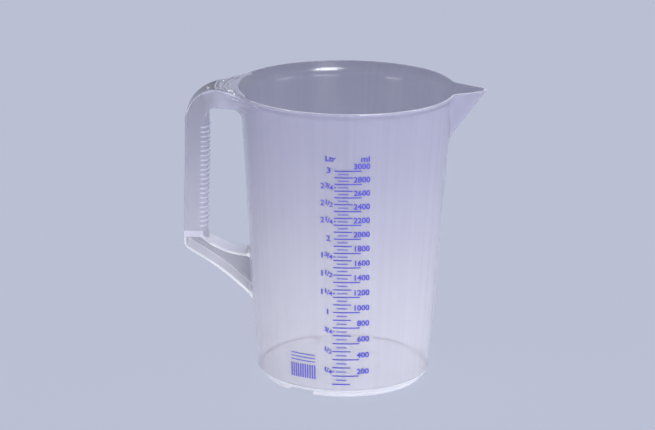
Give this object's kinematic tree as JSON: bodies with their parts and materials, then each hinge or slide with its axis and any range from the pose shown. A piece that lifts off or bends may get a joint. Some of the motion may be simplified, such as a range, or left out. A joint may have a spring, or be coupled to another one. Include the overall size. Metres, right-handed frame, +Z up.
{
  "type": "measuring jug",
  "caption": "Tapered translucent measuring jug with flared rim, pouring lip, closed loop handle on a triangular bracket, and a printed volume scale.",
  "frame": {"origin": "the middle of the jug's bounding box in X and Y, in the plane of the table; the vessel's axis is 9.15 mm from it towards the lip", "axes": "+Z up, +X towards the pouring lip, -X towards the handle, -Y the side that the scale is printed on"},
  "size_m": [0.2346, 0.178, 0.2332],
  "materials": {
    "translucent_plastic": "natural milky polypropylene, satin, with fine upright flow lines",
    "scale_ink": "thin printed ink, blue violet, satin"
  },
  "bodies": {
    "root": {"vessel_wall": "translucent_plastic", "rim": "translucent_plastic", "pouring_lip": "translucent_plastic", "vessel_floor": "translucent_plastic", "foot_ring": "translucent_plastic", "handle_arm": "translucent_plastic", "thumb_ridges": "translucent_plastic", "handle_grip": "translucent_plastic", "finger_ridges": "translucent_plastic", "bracket_heel": "translucent_plastic", "bracket_upper_strap": "translucent_plastic", "bracket_lower_strap": "translucent_plastic", "bracket_web": "translucent_plastic", "moulding_mark": "translucent_plastic", "marks_200_ml": "scale_ink", "marks_100_ml": "scale_ink", "marks_50_ml": "scale_ink", "quarter_ticks": "scale_ink", "label_bars": "scale_ink", "label_rules": "scale_ink"}
  },
  "joints": []
}
